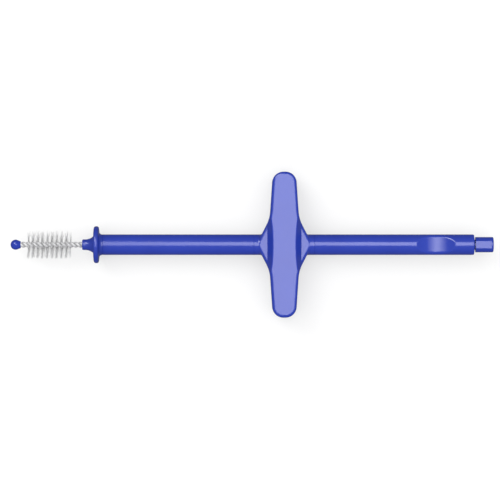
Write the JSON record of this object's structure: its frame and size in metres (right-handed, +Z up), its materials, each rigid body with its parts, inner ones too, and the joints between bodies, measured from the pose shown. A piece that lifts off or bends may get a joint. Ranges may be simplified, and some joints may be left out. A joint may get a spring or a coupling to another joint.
{
  "type": "winged-handle brush applicator",
  "caption": "Slim tubular hand instrument with a wing grip, depth flange and a ball-tipped twisted-wire brush that draws back into the barrel.",
  "frame": {"origin": "centre of the wing grip's flat underside, on which the handle rests", "axes": "+X along the tube towards the tail knob, +Y along the wing, +Z up through the wing's flat top"},
  "size_m": [0.2, 0.0602, 0.0153],
  "materials": {
    "blue_plastic": "polished injection-moulded, royal blue",
    "white_acetal": "smooth natural acetal",
    "soft_ring": "satin",
    "spring_steel": "satin",
    "stem_wire": "drawn stainless wire",
    "ferrule_brass": "drawn tube",
    "filament": "fine translucent nylon filaments"
  },
  "bodies": {
    "handle": {"nozzle_cap": "blue_plastic", "front_barrel": "blue_plastic", "rear_barrel": "blue_plastic", "barrel_coupler": "blue_plastic", "front_guide_bush": "white_acetal", "stop_bush": "white_acetal", "wing_upper_shell": "blue_plastic", "wing_lower_shell": "blue_plastic", "wing_dowels": "blue_plastic"},
    "collar": {"guide_collar": "white_acetal", "friction_ring": "soft_ring"},
    "spindle": {"drive_rod": "white_acetal", "collar_clips": "spring_steel", "brush_ferrule": "ferrule_brass", "wire_strand_a": "stem_wire", "wire_strand_b": "stem_wire", "bristles": "filament", "tip_ball": "blue_plastic", "tail_knob": "blue_plastic"}
  },
  "joints": [
    {"name": "plunger_slide", "type": "slide", "parent": "handle", "child": "collar", "axis": [1, 0, 0], "range_m": [0, 0.026], "deforming": ["bristles"]},
    {"name": "brush_spin", "type": "hinge", "parent": "collar", "child": "spindle", "pos_m": [0.014, 0, 0.00765], "axis": [1, 0, 0], "continuous": true}
  ]
}
